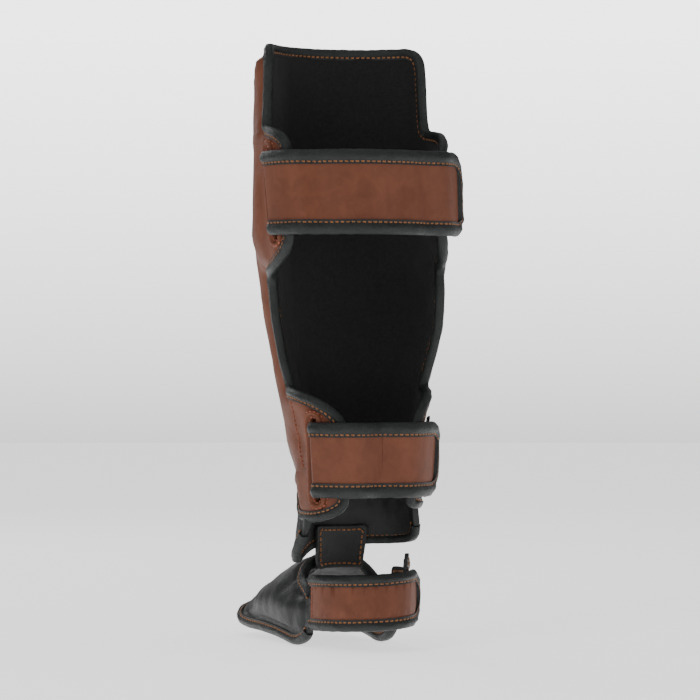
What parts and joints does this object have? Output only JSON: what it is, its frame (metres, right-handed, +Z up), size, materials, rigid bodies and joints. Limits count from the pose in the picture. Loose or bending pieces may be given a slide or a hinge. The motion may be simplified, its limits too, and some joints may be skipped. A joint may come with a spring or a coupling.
{
  "type": "martial arts shin guard",
  "caption": "Padded leather shin guard with strap slots, closing straps behind the calf, ankle section, instep pad and heel strap.",
  "frame": {"origin": "on the leg's axis at the height of the ankle, where the leg sits in the guard", "axes": "+Z up along the leg, toes towards -Y, straps behind the leg at +Y, slotted wings at +X"},
  "size_m": [0.161, 0.2398, 0.4838],
  "materials": {
    "brown_leather": "soft pebbled satin",
    "black_leather": "soft satin",
    "lining_fabric": "matt",
    "loop_fabric": "fuzzy"
  },
  "bodies": {
    "root": {"ankle_binding": "black_leather", "ankle_guard": "black_leather", "heel_strap": "brown_leather", "heel_strap_binding": "black_leather", "heel_underlap": "black_leather", "instep_binding": "black_leather", "instep_link": "black_leather", "instep_pad": "black_leather", "lower_loop_patch": "loop_fabric", "lower_strap": "brown_leather", "lower_strap_binding": "black_leather", "shin_binding": "black_leather", "shin_lining": "lining_fabric", "shin_panel": "brown_leather", "upper_strap": "brown_leather", "upper_strap_binding": "black_leather"}
  },
  "joints": []
}
